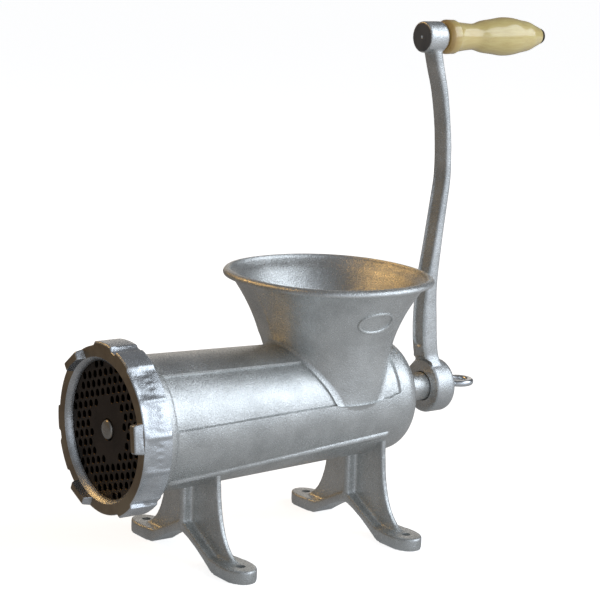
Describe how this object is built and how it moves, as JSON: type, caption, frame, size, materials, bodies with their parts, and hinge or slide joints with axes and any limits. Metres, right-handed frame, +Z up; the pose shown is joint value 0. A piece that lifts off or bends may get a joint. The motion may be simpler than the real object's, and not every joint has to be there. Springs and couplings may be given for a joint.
{
  "type": "hand crank meat grinder",
  "caption": "Bolt-down hand crank meat grinder: barrel with flared hopper on splayed legs, screwed ring and holed plate, auger and knife inside, S-shaped crank with a turned wooden grip.",
  "frame": {"origin": "on the bench, under the middle of the whole grinder's outline seen from above", "axes": "+Z up; the barrel lies along Y, its mouth towards -Y and the crank towards +Y; +X is the right side seen from the mouth"},
  "size_m": [0.152, 0.3682, 0.3578],
  "materials": {
    "tinned_iron": "hot-tinned sand casting, satin silver with a fine grain",
    "steel": "ground steel",
    "plate_steel": "dark oiled carbon steel",
    "bronze": "plain sintered bronze",
    "fibre": "pressed fibre",
    "zinc_plate": "bright zinc plating",
    "lacquered_wood": "pale turned hardwood under gloss lacquer"
  },
  "bodies": {
    "housing": {"housing": "tinned_iron", "plate_key_pin": "steel", "rear_bushing": "bronze"},
    "auger": {"auger": "tinned_iron", "auger_stud": "steel", "cross_knife": "steel", "thrust_washer": "fibre"},
    "crank": {"crank_arm": "tinned_iron", "handle_peg": "plate_steel", "peg_washer": "plate_steel"},
    "thumb_screw": {"thumb_screw": "zinc_plate"},
    "grip": {"grip": "lacquered_wood"},
    "plate": {"grinding_plate": "plate_steel"},
    "ring": {"ring_nut": "tinned_iron"}
  },
  "joints": [
    {"name": "crank_spin", "type": "hinge", "parent": "housing", "child": "auger", "pos_m": [0, 0, 0.0949], "axis": [0, -1, 0], "continuous": true},
    {"name": "arm_draw", "type": "slide", "parent": "auger", "child": "crank", "axis": [0, 1, 0], "range_m": [0, 0.006]},
    {"name": "screw_turn", "type": "hinge", "parent": "crank", "child": "thumb_screw", "pos_m": [0, 0.12, 0.0949], "axis": [0, 1, 0], "range_deg": [0, 1728.1]},
    {"name": "grip_spin", "type": "hinge", "parent": "crank", "child": "grip", "pos_m": [0, 0.12, 0.3442], "axis": [0, 1, 0], "continuous": true},
    {"name": "plate_draw", "type": "slide", "parent": "housing", "child": "plate", "axis": [0, -1, 0], "range_m": [0, 0.012]},
    {"name": "ring_turn", "type": "hinge", "parent": "plate", "child": "ring", "pos_m": [0, -0.17, 0.0949], "axis": [0, -1, 0], "range_deg": [0, 1080]}
  ],
  "couplings": [
    {"joint": "screw_turn", "follows": "arm_draw", "rad_per_m": 5026.5},
    {"joint": "plate_draw", "follows": "ring_turn", "m_per_rad": 0.00063662}
  ]
}
